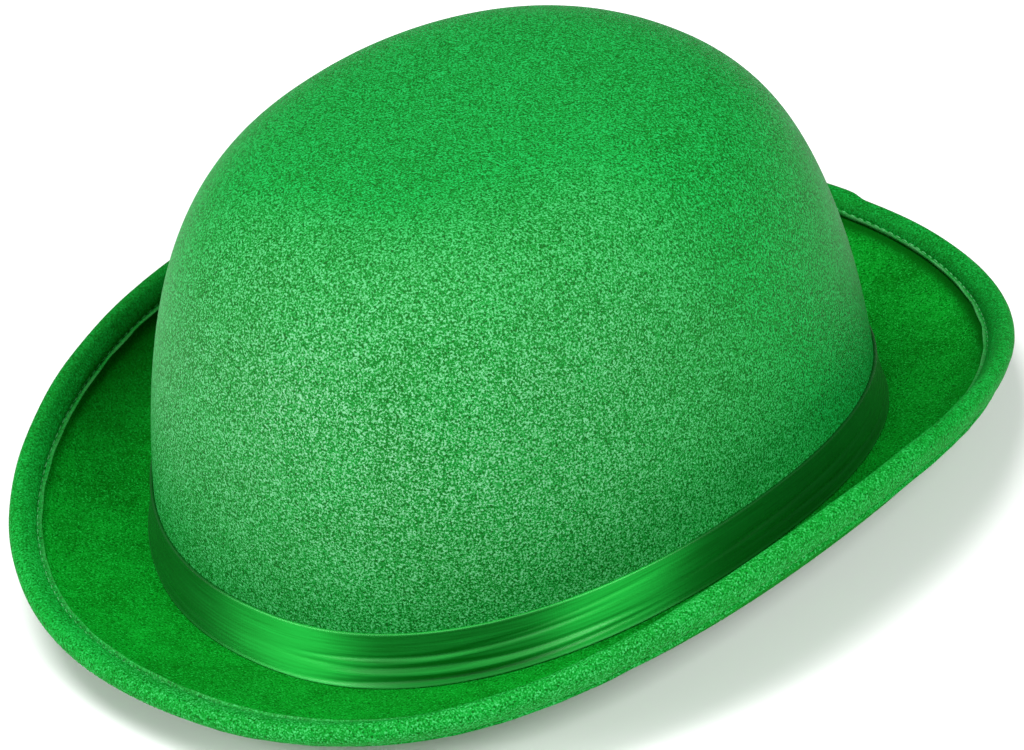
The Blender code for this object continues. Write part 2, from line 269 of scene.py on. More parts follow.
def domePiece(name, outer, inner, top, ceiling, material):
    # a domed shell: rings from the foot to the top outside, and back down the inside
    around = outer.shape[1]
    rings = np.concatenate([outer[::-1], inner])
    count = len(rings)
    points = np.concatenate([rings.reshape(-1, 3), [(0, 0, top), (0, 0, ceiling)]])
    quads, places, sides = gridQuads(count, around, False)
    turned = np.concatenate([rings, rings[:, :1]], axis=1)
    u = runningLength(turned[len(outer) - 1])
    v = runningLength(rings[:, 0])
    k = np.arange(around)
    first = np.stack([k, (k + 1) % around, np.full(around, count * around)], axis=-1)
    base = (count - 1) * around
    last = np.stack([base + k, base + (k + 1) % around, np.full(around, count * around + 1)], axis=-1)
    uvQuads = np.stack([u[sides], v[places]], axis=-1)
    fan = np.stack([u[k], u[k + 1], (u[k] + u[k + 1]) / 2], axis=-1)
    uvFirst = np.stack([fan, np.full((around, 3), -0.001)], axis=-1)
    uvLast = np.stack([fan, np.full((around, 3), v[-1] + 0.001)], axis=-1)
    return buildMesh(name, points, quads[:, ::-1], uvQuads[:, ::-1], material, None,
                     np.concatenate([first, last[:, ::-1]]), np.concatenate([uvFirst, uvLast[:, ::-1]]))


def outwardVolume(piece):
    # six times the signed volume, which is positive when the faces point outwards
    mesh = piece.data
    mesh.calc_loop_triangles()
    places = np.empty(len(mesh.vertices) * 3, dtype=np.float32)
    mesh.vertices.foreach_get("co", places)
    corners = np.empty(len(mesh.loop_triangles) * 3, dtype=np.int32)
    mesh.loop_triangles.foreach_get("vertices", corners)
    a, b, c = places.reshape(-1, 3)[corners.reshape(-1, 3)].transpose(1, 0, 2)
    return float(np.sum(a * np.cross(b, c)))


def finishPiece(piece, slotName, *nodes):
    if outwardVolume(piece) < 0:
        piece.data.flip_normals()
    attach(piece, "root")
    if nodes:
        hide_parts(*nodes)
    return piece


# ---- node helpers

def addNode(tree, kind, links=None, values=None, **settings):
    node = tree.nodes.new(kind)
    for name, value in settings.items():
        setattr(node, name, value)
    for name, value in (values or {}).items():
        node.inputs[name].default_value = value
    for name, socket in (links or {}).items():
        tree.links.new(socket, node.inputs[name])
    return node


def mathNode(tree, operation, first, second):
    node = addNode(tree, "ShaderNodeMath", operation=operation)
    for place, value in enumerate((first, second)):
        if isinstance(value, (int, float)):
            node.inputs[place].default_value = value
        else:
            tree.links.new(value, node.inputs[place])
    return node.outputs[0]


def times(tree, first, second):
    return mathNode(tree, "MULTIPLY", first, second)


def plus(tree, first, second):
    return mathNode(tree, "ADD", first, second)


def noiseNode(tree, links, values):
    return addNode(tree, "ShaderNodeTexNoise", links, values).outputs[0]


def mixColour(tree, factor, first, second):
    node = addNode(tree, "ShaderNodeMix", data_type="RGBA")
    for place, value in ((0, factor), (6, first), (7, second)):
        if isinstance(value, bpy.types.NodeSocket):
            tree.links.new(value, node.inputs[place])
        else:
            node.inputs[place].default_value = value if place == 0 else (*value, 1)
    return node.outputs[2]


def rampNode(tree, factor, low, high, bottom=0.0, top=1.0):
    # bottom below low, top above high
    node = addNode(tree, "ShaderNodeMapRange", {"Value": factor},
                   {"From Min": low, "From Max": high, "To Min": bottom, "To Max": top})
    return node.outputs["Result"]


def alongNode(tree, place, direction):
    # how far a place lies along a direction
    node = addNode(tree, "ShaderNodeVectorMath", {0: place}, {1: direction}, operation="DOT_PRODUCT")
    return node.outputs["Value"]


def startGroup(name, inputs, outputs):
    tree = bpy.data.node_groups.new(name, "ShaderNodeTree")
    for label, kind, value in inputs:
        socket = tree.interface.new_socket(label, in_out="INPUT", socket_type=kind)
        if value is not None:
            socket.default_value = value
    for label, kind in outputs:
        tree.interface.new_socket(label, in_out="OUTPUT", socket_type=kind)
    return tree, addNode(tree, "NodeGroupInput").outputs, addNode(tree, "NodeGroupOutput").inputs


def makeNapGroup():
    # velour: short pile that leans in patches, with pale and dark specks where single tufts turn
    tree, given, result = startGroup(
        "velourNap",
        [("Vector", "NodeSocketVector", None), ("Speck Scale", "NodeSocketFloat", 1500.0),
         ("Patch Scale", "NodeSocketFloat", 30.0)],
        [("Speck", "NodeSocketFloat"), ("Patch", "NodeSocketFloat"), ("Height", "NodeSocketFloat")])
    place, fine, broad = given["Vector"], given["Speck Scale"], given["Patch Scale"]
    tufts = noiseNode(tree, {"Vector": place, "Scale": fine}, {"Detail": 1.5, "Roughness": 0.6})
    cells = addNode(tree, "ShaderNodeTexVoronoi", {"Vector": place, "Scale": times(tree, fine, 1.15)},
                    feature="F1")
    grey = addNode(tree, "ShaderNodeSeparateColor", {"Color": cells.outputs["Color"]}).outputs[0]
    fluff = times(tree, rampNode(tree, tufts, 0.28, 0.72), 0.65)
    speck = plus(tree, fluff, times(tree, grey, 0.35))
    large = noiseNode(tree, {"Vector": place, "Scale": broad},
                      {"Detail": 3.0, "Roughness": 0.55, "Distortion": 0.6})
    small = noiseNode(tree, {"Vector": place, "Scale": times(tree, broad, 6.0)}, {"Detail": 2.0})
    patch = plus(tree, times(tree, rampNode(tree, large, 0.3, 0.7), 0.7),
                 times(tree, rampNode(tree, small, 0.3, 0.7), 0.3))
    height = plus(tree, speck, times(tree, patch, 0.5))
    tree.links.new(speck, result["Speck"])
    tree.links.new(patch, result["Patch"])
    tree.links.new(height, result["Height"])
    return tree


def makeThreadsGroup():
    # woven cloth on a UV map in metres: fine threads along and across, and slubs along the length
    tree, given, result = startGroup(
        "threads",
        [("Vector", "NodeSocketVector", None), ("Along", "NodeSocketFloat", 3000.0),
         ("Across", "NodeSocketFloat", 6000.0), ("Streak", "NodeSocketFloat", 900.0)],
        [("Weave", "NodeSocketFloat"), ("Streaks", "NodeSocketFloat")])
    parts = addNode(tree, "ShaderNodeSeparateXYZ", {"Vector": given["Vector"]})
    waveU = mathNode(tree, "SINE", times(tree, parts.outputs[0], given["Along"]), 0.0)
    waveV = mathNode(tree, "SINE", times(tree, parts.outputs[1], given["Across"]), 0.0)
    weave = plus(tree, times(tree, plus(tree, waveU, waveV), 0.25), 0.5)
    stretched = addNode(tree, "ShaderNodeCombineXYZ",
                        {"X": times(tree, parts.outputs[0], 0.03), "Y": parts.outputs[1]})
    slub = noiseNode(tree, {"Vector": stretched.outputs[0], "Scale": given["Streak"]}, {"Detail": 3.0})
    tree.links.new(weave, result["Weave"])
    tree.links.new(slub, result["Streaks"])
    return tree


napGroup = makeNapGroup()
threadsGroup = makeThreadsGroup()


def startMaterial(name, constants):
    material = bpy.data.materials.new(name)
    material.use_nodes = True
    tree = material.node_tree
    shader = tree.nodes["Principled BSDF"]
    for label, value in constants.items():
        shader.inputs[label].default_value = value
    return material, tree, shader


def linkShader(tree, shader, links):
    for label, socket in links.items():
        tree.links.new(socket, shader.inputs[label])


def objectPlace(tree):
    return addNode(tree, "ShaderNodeTexCoord").outputs["Object"]


def addBump(tree, shader, height, strength, distance):
    bump = addNode(tree, "ShaderNodeBump", {"Height": height}, {"Strength": strength, "Distance": distance})
    linkShader(tree, shader, {"Normal": bump.outputs[0]})


def velourMaterial(look):
    material, tree, shader = startMaterial(look["name"], {
        "Roughness": look["roughness"],
        "Specular IOR Level": look["specular"],
    })
    place = objectPlace(tree)
    nap = addNode(tree, "ShaderNodeGroup", {"Vector": place}, node_tree=napGroup)
    nap.inputs["Speck Scale"].default_value = look["speckScale"]
    nap.inputs["Patch Scale"].default_value = look["patchScale"]
    ground = mixColour(tree, nap.outputs["Patch"], look["shade"], look["colour"])
    # painted sheen: a pale highlight laid into the colour in a broad soft zone, set by a direction and by
    # noise and faded out at the foot
    broad = noiseNode(tree, {"Vector": place}, {"Scale": 9.0, "Detail": 2.0})
    drift = plus(tree, alongNode(tree, place, look["paintedSheenAlong"]), times(tree, broad, 0.6))
    level = addNode(tree, "ShaderNodeSeparateXYZ", {"Vector": place}).outputs[2]
    foot = rampNode(tree, level, *look["paintedSheenFoot"])
    paintedSheen = times(tree, rampNode(tree, drift, look["paintedSheenFrom"], look["paintedSheenTo"]), foot)
    # the pale flecks blend towards the painted sheen colour
    fleckWithSheen = mixColour(tree, paintedSheen, look["fleck"], look["paintedSheen"])
    fleck = rampNode(tree, nap.outputs["Speck"], look["fleckFrom"], look["fleckTo"])
    pale = mixColour(tree, fleck, ground, fleckWithSheen)
    pit = rampNode(tree, nap.outputs["Speck"], look["pitFrom"], look["pitTo"])
    pitted = mixColour(tree, pit, pale, look["pit"])
    # marks: above 0 makes a paler ridge, below 0 is painted shadow and shade, darkened towards the pit colour
    marks = addNode(tree, "ShaderNodeAttribute", attribute_name="marks").outputs["Fac"]
    darker = mixColour(tree, rampNode(tree, marks, -1.0, 0.0, 1.0, 0.0), pitted, look["pit"])
    tinted = mixColour(tree, rampNode(tree, marks, 0.0, 1.0, 0.0, 0.45), darker, look["paleRidge"])
    # painted shade: the colour darkens towards the pit colour on one side of the hat, standing in for the
    # shade that falls there
    leaning = alongNode(tree, place, look["leanAlong"])
    deeper = rampNode(tree, leaning, look["leanFrom"], look["leanTo"], look["lean"], 0.0)
    linkShader(tree, shader, {"Base Color": mixColour(tree, deeper, tinted, look["pit"])})
    addBump(tree, shader, nap.outputs["Height"], look["bump"], look["bumpDistance"])
    return material


plainVelour = {
    "paintedSheenAlong": (0.0, 0.0, 0.0), "paintedSheenFoot": (-1.0, -0.9),
    "lean": 0.0, "leanAlong": (3.0, -1.0, 0.0), "leanFrom": -0.34, "leanTo": -0.19,
    "paleRidge": (0.130, 0.400, 0.170),
    "speckScale": 1900.0, "bump": 0.5, "bumpDistance": 0.0004,
}
# the crown's painted sheen is strongest low on the side towards the lights
crownVelour = velourMaterial({
    **plainVelour,
    "name": "crownVelour",
    "colour": (0.003, 0.262, 0.030), "shade": (0.001, 0.186, 0.014), "pit": (0.001, 0.080, 0.005),
    "fleck": (0.011, 0.395, 0.080), "paintedSheen": (0.245, 0.470, 0.315), "paintedSheenAlong": (1.8, -4.0, -2.0),
    "paintedSheenFrom": 0.18, "paintedSheenTo": 0.74, "paintedSheenFoot": (0.0, 0.085),
    "fleckFrom": 0.50, "fleckTo": 0.78, "pitFrom": 0.50, "pitTo": 0.22,
    "patchScale": 22.0, "roughness": 0.55, "specular": 0.11, "bump": 0.6,
})
# the brim gets painted sheen in noise patches and strong painted shade towards one side
brimVelour = velourMaterial({
    **plainVelour,
    "name": "brimVelour",
    "colour": (0.001, 0.255, 0.013), "shade": (0.0004, 0.120, 0.003), "pit": (0.0002, 0.075, 0.002),
    "fleck": (0.007, 0.350, 0.036), "paintedSheen": (0.012, 0.370, 0.044), "paintedSheenFrom": 0.24, "paintedSheenTo": 0.36,
    "fleckFrom": 0.58, "fleckTo": 0.92, "pitFrom": 0.44, "pitTo": 0.18, "lean": 0.97,
    "patchScale": 42.0, "roughness": 0.85, "specular": 0.03,
})
# the binding gets painted sheen towards the lights and milder painted shade towards one side
bindingVelour = velourMaterial({
    **plainVelour,
    "name": "bindingVelour",
    "colour": (0.002, 0.265, 0.024), "shade": (0.0008, 0.190, 0.012), "pit": (0.0005, 0.085, 0.004),
    "fleck": (0.008, 0.400, 0.060), "paintedSheen": (0.050, 0.430, 0.115), "paintedSheenAlong": (1.6, -1.8, 0.0),
    "paintedSheenFrom": 0.34, "paintedSheenTo": 0.64,
    "fleckFrom": 0.54, "fleckTo": 0.88, "pitFrom": 0.46, "pitTo": 0.20,
    "lean": 0.65, "leanFrom": -0.42, "leanTo": -0.04,
    "patchScale": 60.0, "roughness": 0.7, "specular": 0.06,
})


def clothNode(tree, look):
    # the thread pattern on the piece's own UV map
    place = addNode(tree, "ShaderNodeTexCoord").outputs["UV"]
    cloth = addNode(tree, "ShaderNodeGroup", {"Vector": place}, node_tree=threadsGroup)
    for label in ("Along", "Across", "Streak"):
        cloth.inputs[label].default_value = look[label.lower()]
    return cloth


def satinMaterial(look):
    material, tree, shader = startMaterial(look["name"], {
        "Metallic": look["metallic"],
        "Specular IOR Level": 0.5,
        "Anisotropic": look["anisotropic"],
        "Anisotropic Rotation": 0.25,
        "Coat Weight": look["gloss"],
        "Coat Roughness": 0.38,
    })
    cloth = clothNode(tree, look)
    streak = rampNode(tree, cloth.outputs["Streaks"], 0.3, 0.7)
    tinted = mixColour(tree, streak, look["shade"], look["colour"])
    # paler woven edges: partly the ribbon's edge tone, partly a painted highlight along its foot
    selvage = addNode(tree, "ShaderNodeAttribute", attribute_name="marks").outputs["Fac"]
    tangent = addNode(tree, "ShaderNodeTangent", direction_type="UV_MAP", uv_map="UVMap")
    linkShader(tree, shader, {
        "Base Color": mixColour(tree, selvage, tinted, look["selvage"]),
        "Roughness": rampNode(tree, streak, 0.0, 1.0, look["roughFrom"], look["roughTo"]),
        "Tangent": tangent.outputs[0],
    })
    height = plus(tree, times(tree, cloth.outputs["Weave"], look["weave"]), streak)
    addBump(tree, shader, height, look["bump"], 0.0001)
    return material


satinRibbon = satinMaterial({
    "name": "satinRibbon",
    "colour": (0.009, 0.385, 0.044), "shade": (0.004, 0.270, 0.024), "selvage": (0.045, 0.450, 0.090),
    "metallic": 0.9, "anisotropic": 0.95, "gloss": 0.5, "roughFrom": 0.46, "roughTo": 0.54,
    "along": 9000.0, "across": 12000.0, "streak": 1500.0, "weave": 0.25, "bump": 0.25,
})
satinLining = satinMaterial({
    "name": "satinLining",
    "colour": (0.010, 0.300, 0.045), "shade": (0.006, 0.220, 0.030), "selvage": (0.010, 0.300, 0.045),
    "metallic": 0.5, "anisotropic": 0.5, "gloss": 0.3, "roughFrom": 0.38, "roughTo": 0.50,
    "along": 9000.0, "across": 9000.0, "streak": 1200.0, "weave": 0.3, "bump": 0.2,
})


def tapeMaterial(look):
    # ribbed tape: round ribs across its width
    material, tree, shader = startMaterial(
        look["name"], {"Roughness": 0.7, "Specular IOR Level": 0.3, "Sheen Weight": 0.15})
    cloth = clothNode(tree, look)
    tinted = mixColour(tree, cloth.outputs["Weave"], look["shade"], look["colour"])
    worn = mixColour(tree, rampNode(tree, cloth.outputs["Streaks"], 0.45, 0.75), tinted, look["light"])
    linkShader(tree, shader, {"Base Color": worn})
    addBump(tree, shader, cloth.outputs["Weave"], 0.6, 0.0002)
    return material


sweatTape = tapeMaterial({
    "name": "sweatTape",
    "colour": (0.010, 0.170, 0.030), "shade": (0.004, 0.075, 0.012), "light": (0.020, 0.240, 0.045),
    "along": 6500.0, "across": 0.0, "streak": 400.0,
})


def fibreMaterial(look):
    # tangled or twisted fibres: one noise for the tint and the bump
    material, tree, shader = startMaterial(look["name"], look["constants"])
    fibres = noiseNode(tree, {"Vector": objectPlace(tree)}, look["noise"])
    mask = rampNode(tree, fibres, *look["contrast"])
    linkShader(tree, shader, {"Base Color": mixColour(tree, mask, look["dark"], look["light"])})
    addBump(tree, shader, fibres, *look["bump"])
    return material


sewingThread = fibreMaterial({
    "name": "sewingThread",
    "light": (0.070, 0.420, 0.130), "dark": (0.015, 0.250, 0.045),
    "constants": {"Roughness": 0.5, "Specular IOR Level": 0.4, "Sheen Weight": 0.2},
    "noise": {"Scale": 2500.0, "Detail": 1.0}, "contrast": (0.35, 0.65), "bump": (0.4, 0.0001),
})
stiffFelt = fibreMaterial({
    "name": "stiffFelt",
    "light": (0.030, 0.220, 0.055), "dark": (0.012, 0.130, 0.028),
    "constants": {"Roughness": 0.9, "Specular IOR Level": 0.2},
    "noise": {"Scale": 900.0, "Detail": 4.0, "Distortion": 1.5}, "contrast": (0.3, 0.7),
    "bump": (0.5, 0.0003),
})


def wireMaterial():
    material, tree, shader = startMaterial("drawnWire", {"Metallic": 1.0})
    drawn = noiseNode(tree, {"Vector": objectPlace(tree)}, {"Scale": 700.0, "Detail": 2.0})
    linkShader(tree, shader, {
        "Base Color": mixColour(tree, drawn, (0.42, 0.43, 0.45), (0.66, 0.67, 0.69)),
        "Roughness": rampNode(tree, drawn, 0.0, 1.0, 0.25, 0.45),
    })
    return material


drawnWire = wireMaterial()
print("materials made")


# ---- crown

coverLook = {"around": 300, "rings": 84, "lump": 0.00022, "innerRings": 24}
nearTop = quarter - 1e-4  # the last turn before the pole


def makeCrownCover():
    # the crown's face with low soft lumps where the cover was drawn over the shell
    angle = evenAngles(coverLook["around"])[0]
    turns = evenTurns(0, nearTop, coverLook["rings"] + 1)[:-1]
    lump = (ripple(angle, 3, 5, 2)[None] * np.sin(turns * 2)[:, None]
            + ripple(angle, 8, 7, 5)[None] * np.sin(turns * 5 + 1.0)[:, None] * 0.5)
    fade = np.sin(turns)[:, None] * np.cos(turns)[:, None] * 2
    outer = crownLayer(angle[None], turns[:, None], -coverLook["lump"] * lump * fade)
    innerTurns = evenTurns(0, nearTop, coverLook["innerRings"] + 1)[:-1]
    inner = crownLayer(angle[None], innerTurns[:, None], crown["coverThickness"])
    piece = domePiece("crownCover", outer, inner, crownTop, crownTop - crown["coverThickness"], crownVelour)
    return finishPiece(piece, "crown_velour", "crown_cover")


makeCrownCover()
print("crown cover made")


# ---- brim

brimLook = {
    "around": 480,
    "steps": 46,
    "reach": 0.02,          # how far outside the crown the angles are spaced evenly
    "edge": 0.001,          # how far inside the rim the covers end
    "tuck": (-0.0012, 0.0004, 0.0018),
    "turnRadius": 0.0022,
    "turn": (232.0, 245.0, 258.0),
    "lump": 0.00012,
    # painted shadow on the brim beside the binding's lip: how far in from the rim and how wide
    "paintedShadeAt": 0.0070,
    "paintedShadeWidth": 0.0022,
    "farSide": math.radians(112),
}


def awayFromLights(angle):
    # 1 on the far side of the hat, turned from the lights, where the painted shade is strongest, and 0 on the
    # opposite side
    return np.clip(0.5 + 0.75 * np.cos(angle - brimLook["farSide"]), 0, 1)


def brimCover(name, inside, insideUp, high, low, lump, paintedShadeStrength, node):
    # a skin between two distances from the brim's middle line, from under the crown to near the rim
    angle = evenAngles(brimLook["around"], brimLook["reach"])[0]
    length = brimLength(angle)[:, None]
    back = length + (brimLook["edge"] - length) * np.linspace(0, 1, brimLook["steps"])[None]
    path, upward = brimPath(angle, back)
    path = np.concatenate([np.broadcast_to(inside, (len(angle), *inside.shape)), path], axis=1)
    upward = np.concatenate([np.broadcast_to(insideUp, (len(angle), *inside.shape)), upward], axis=1)
    wave = ripple(angle, 12, 6, 3)[:, None] * np.sin(np.linspace(0, math.pi, path.shape[1]))[None]
    upper = path + upward * (high + wave[..., None] * lump)
    section = np.concatenate([upper, (path + upward * low)[:, ::-1]], axis=1)
    marks = np.zeros(section.shape[:2])
    beside = np.exp(-((back - brimLook["paintedShadeAt"]) / brimLook["paintedShadeWidth"]) ** 2)
    # painted shadow on the brim beside the binding's lip, strongest on the side turned from the lights
    marks[:, len(inside):path.shape[1]] = -paintedShadeStrength * beside * awayFromLights(angle)[:, None]
    finishPiece(ringPiece(name, stand(angle, section), brimVelour, marks), "brim_velour", node)


def makeBrim():
    # both covers start flat under the crown, and the lower one first comes down a bend from the collar
    skin = brim["boardHalf"] + brim["gap"]
    level = -brim["gap"] - brim["half"]
    flat = np.array([[place, level] for place in brimLook["tuck"]])
    flatUp = np.tile([0.0, 1.0], (3, 1))
    brimCover("brimTopCover", flat, flatUp, brim["half"], skin, brimLook["lump"], 1.0, "brim_top_cover")
    centre = np.array([brimLook["tuck"][0], level + brimLook["turnRadius"]])
    turn = np.radians(brimLook["turn"])
    outward = np.stack([np.cos(turn), np.sin(turn)], axis=-1)
    inside = np.concatenate([centre + brimLook["turnRadius"] * outward, flat])
    insideUp = np.concatenate([-outward, flatUp])
    brimCover("brimUnderCover", inside, insideUp, -skin, -brim["half"], 0.0, 0.0, "brim_under_cover")


makeBrim()
print("brim covers made")


# ---- bound edge

binding = {
    "middle": 0.0024,       # from the brim's middle line to the middle of the binding
    "thickness": 0.0008,
    "reach": 0.036,         # how far outside the crown's foot the rim runs
    "stitchInset": 0.0045,
    "stitchPitch": 0.0031,
    "stitchLength": 0.0021,
    "threadRadius": 0.00024,
    "puff": 0.00040,
    "groove": 0.00065,
    "grooveWidth": 0.00040,
    "lip": 0.00070,
    "lipBack": 0.00095,
    "lipWidth": 0.00048,
    "lipWander": 0.00022,
    "paleRidgeWidth": 0.00065,
    # painted shade on the binding's flat zone: how far in from the rim and how wide
    "paintedShadeAt": 0.0030,
    "paintedShadeWidth": 0.0016,
    "lapAngle": math.radians(90),
    "lapReach": math.radians(45),
    "lapHeight": 0.00110,
    "pointsPerStitch": 5,
    # millimetres in from the rim, from the cut edge outwards
    "outerBack": (5.9, 5.82, 5.6, 5.35, 5.1, 4.85, 4.65, 4.5, 4.35, 4.1, 3.6, 2.9, 2.1, 1.4, 0.7),
    "innerBack": (5.85, 3.5, 1.0),
}


def lipShape(angle, back, width):
    wander = binding["lipWander"] * ripple(angle, 51, 26, 40)[:, None]
    place = binding["stitchInset"] + binding["lipBack"] + wander
    return np.exp(-((back - place) / width) ** 2)


def bindingProfile(angle, back, puffiness, pinch):
    # height of the binding's outer face above its flat place: a puffed roll, a sewn groove, a raised lip
    inset = binding["stitchInset"]
    roll = binding["puff"] * puffiness * np.sin(np.clip(back / inset, 0, 1) * math.pi) ** 0.8
    groove = binding["groove"] * pinch * np.exp(-((back - inset) / binding["grooveWidth"]) ** 2)
    lip = binding["lip"] * (0.8 + 0.2 * puffiness) * lipShape(angle, back, binding["lipWidth"])
    tuck = 0.00045 * np.clip((back - 0.0056) / 0.0003, 0, 1) ** 2
    return roll - groove + lip - tuck


def lapAt(angle):
    # 1 where the binding's end lies over its start, stepping up at the sewn end and fading the other way
    away = wayFrom(binding["lapAngle"], angle)
    step = 1 / (1 + np.exp(np.clip(-away / 0.006, -60, 60)))
    return step * np.clip(1 - away / binding["lapReach"], 0, 1) ** 0.7


def stitchCount(look):
    return int(round(evenAngles(8, look["reach"])[1] / look["stitchPitch"]))


def makeBinding():
    count = stitchCount(binding) * binding["pointsPerStitch"]
    angle = evenAngles(count, binding["reach"])[0]
    phase = np.arange(count) / binding["pointsPerStitch"]
    pinch = (0.75 + 0.25 * np.cos(2 * math.pi * phase))[:, None]
    puffiness = (1 + 0.35 * ripple(angle, 21, 14, 9) + 0.12 * ripple(angle, 5, 30, 60))[:, None]
    back = np.array(binding["outerBack"])[None] / 1000
    flat, upward = brimPath(angle, np.broadcast_to(back, (count, back.shape[1])))
    lap = binding["lapHeight"] * lapAt(angle)[:, None]
    face = binding["middle"] + binding["thickness"] / 2
    lift = face + bindingProfile(angle, back, puffiness, pinch) + lap
    over = flat + upward * lift[..., None]
    under = flat - upward * lift[..., None]
    centre, up = brimPath(angle, np.zeros((count, 1)))
    along = np.stack([up[..., 1], -up[..., 0]], axis=-1)
    swing = np.linspace(0, math.pi, 13)[None, 1:-1, None]
    radius = face + 0.00012 * ripple(angle, 33, 18, 12)[:, None, None] + lap[..., None]
    roll = centre + radius * (np.sin(swing) * along + np.cos(swing) * up)
    outer = np.concatenate([over, roll, under[:, ::-1]], axis=1)
    inside = binding["middle"] - binding["thickness"] / 2
    few = np.array(binding["innerBack"])[None] / 1000
    flatIn, upIn = brimPath(angle, np.broadcast_to(few, (count, few.shape[1])))
    swingIn = np.linspace(0, math.pi, 5)[None, 1:-1, None]
    rollIn = centre + inside * (np.sin(swingIn) * along + np.cos(swingIn) * up)
    inner = np.concatenate([flatIn + upIn * inside, rollIn, (flatIn - upIn * inside)[:, ::-1]], axis=1)
    section = np.concatenate([outer, inner[:, ::-1]], axis=1)
    marks = np.zeros(section.shape[:2])
    far = awayFromLights(angle)[:, None]
    # a paler line along the lip, stronger on the side turned from the lights
    paleRidge = lipShape(angle, back, binding["paleRidgeWidth"]) * (0.75 + 0.35 * ripple(angle, 44, 40, 30)[:, None])
    paleRidge = np.clip(paleRidge * (0.3 + 0.7 * far), 0, 1)
    # painted shade on the binding's flat zone, on the side turned from the lights
    paintedShadeBand = np.exp(-((back - binding["paintedShadeAt"]) / binding["paintedShadeWidth"]) ** 2) * far
    marks[:, :back.shape[1]] = paleRidge - 0.45 * paintedShadeBand * (1 - paleRidge)
    piece = ringPiece("edgeBinding", stand(angle, section), bindingVelour, marks)
    return finishPiece(piece, "binding_velour", "edge_binding")


def stitchEnds(look):
    # the angles at both ends of every stitch, centred in its pitch
    count = stitchCount(look)
    share = look["stitchLength"] / look["stitchPitch"] / 2
    steps = np.stack([np.arange(count) + 0.5 - share, np.arange(count) + 0.5 + share])
    table = np.append(evenAngles(count, look["reach"])[0], 2 * math.pi)
    return np.interp(steps, np.arange(count + 1), table)


def makeStitches(name, ends, normals, radius, *nodes):
    # each stitch is a short bent tube whose middle stands proud and whose ends dive into the cloth
    first, last = ends
    rings = sides = 6
    bow = np.sin(np.linspace(0, 1, rings) * math.pi)
    thick = radius * (0.45 + 0.55 * bow ** 0.5)
    axis = last - first
    axis /= np.linalg.norm(axis, axis=-1, keepdims=True)
    side = np.cross(axis, normals)
    centre = first[:, None] + (last - first)[:, None] * np.linspace(0, 1, rings)[None, :, None]
    centre = centre + normals[:, None] * (bow * radius * 1.1 - radius * 0.5)[None, :, None]
    swing = np.arange(sides) / sides * 2 * math.pi
    ring = (side[:, None, None] * np.cos(swing)[None, None, :, None]
            + normals[:, None, None] * np.sin(swing)[None, None, :, None])
    points = centre[:, :, None] + ring * thick[None, :, None, None]
    offsets = (np.arange(len(first)) * rings * sides)[:, None, None]
    quads = (gridQuads(rings, sides, False)[0][None] + offsets).reshape(-1, 4)
    cap = np.array([[0, k, k + 1] for k in range(1, sides - 1)])
    caps = np.concatenate([cap[:, ::-1], cap + (rings - 1) * sides])
    caps = (caps[None] + offsets).reshape(-1, 3)
    piece = buildMesh(name, points.reshape(-1, 3), quads, np.zeros((len(quads), 4, 2)), sewingThread,
                      None, caps, np.zeros((len(caps), 3, 2)))
    return finishPiece(piece, "thread", *nodes)


def bindingStitches(name, side, *nodes):
    # one stitch per pitch, along the groove on the upper (1) or the under (-1) face
    face = binding["middle"] + binding["thickness"] / 2 - binding["groove"] * 0.75
    places = []
    for end in stitchEnds(binding):
        lift = (face + binding["lapHeight"] * lapAt(end))[:, None, None]
        flat, upward = brimPath(end, np.full((len(end), 1), binding["stitchInset"]))
        places.append(stand(end, flat + side * upward * lift)[:, 0])
        normals = stand(end, flat + side * upward * (lift + 0.001))[:, 0] - places[-1]
    normals /= np.linalg.norm(normals, axis=-1, keepdims=True)
    makeStitches(name, places, normals, binding["threadRadius"], *nodes)


makeBinding()
bindingStitches("bindingStitchesTop", 1, "binding_stitch")
bindingStitches("bindingStitchesUnder", -1)
print("bound edge made")


# ---- band

band = {
    "endHeight": 0.0160,
    "sideHeight": 0.0140,
    "gap": 0.0003,
    "thickness": 0.0006,
    "foot": 0.0027,
    "flatWidth": 0.0155,
    "slack": 0.00016,
    "selvage": 0.00015,
    "around": 1000,
    "rows": 52,
    # middle angle, reach round the hat, level and tilt as shares of the height, width, depth
    "creases": (
        (-54, 26, 0.56, 0.05, 0.040, 0.00050), (-50, 30, 0.34, -0.06, 0.045, 0.00045),
        (-48, 28, 0.13, 0.04, 0.040, 0.00055), (-52, 24, 0.23, -0.02, 0.050, -0.00040),
        (-38, 18, 0.70, 0.10, 0.040, 0.00030), (-62, 14, 0.44, 0.08, 0.050, -0.00025),
        (8, 22, 0.48, 0.06, 0.050, 0.00035), (24, 26, 0.22, -0.05, 0.045, 0.00045),
        (60, 20, 0.60, 0.05, 0.050, 0.00040), (118, 26, 0.30, -0.06, 0.045, 0.00045),
        (150, 18, 0.55, 0.08, 0.045, 0.00040), (-176, 24, 0.18, 0.04, 0.050, 0.00040),
        (-148, 20, 0.62, -0.06, 0.045, 0.00035), (-112, 16, 0.20, 0.05, 0.045, 0.00015),
    ),
}


def bandHeight(angle):
    return band["sideHeight"] + (band["endHeight"] - band["sideHeight"]) * np.sin(angle) ** 2


def creases(angle, share):
    # each fold fades out along the ribbon and has a bell-shaped section across it
    total = np.zeros(np.broadcast(angle, share).shape)
    for middle, reach, level, tilt, width, depth in band["creases"]:
        away = wayFrom(math.radians(middle), angle)
        fade = np.exp(-(away / math.radians(reach)) ** 4)
        place = level + tilt * away / math.radians(reach) + 0.012 * ripple(angle, int(middle) + 200, 8, 6)
        total = total + depth * fade * np.exp(-((share - place) / width) ** 2)
    return total


def bandFoot(share):
    flare = band["foot"] - band["gap"] - band["thickness"]
    return flare * np.maximum(1 - share, 0) ** 2


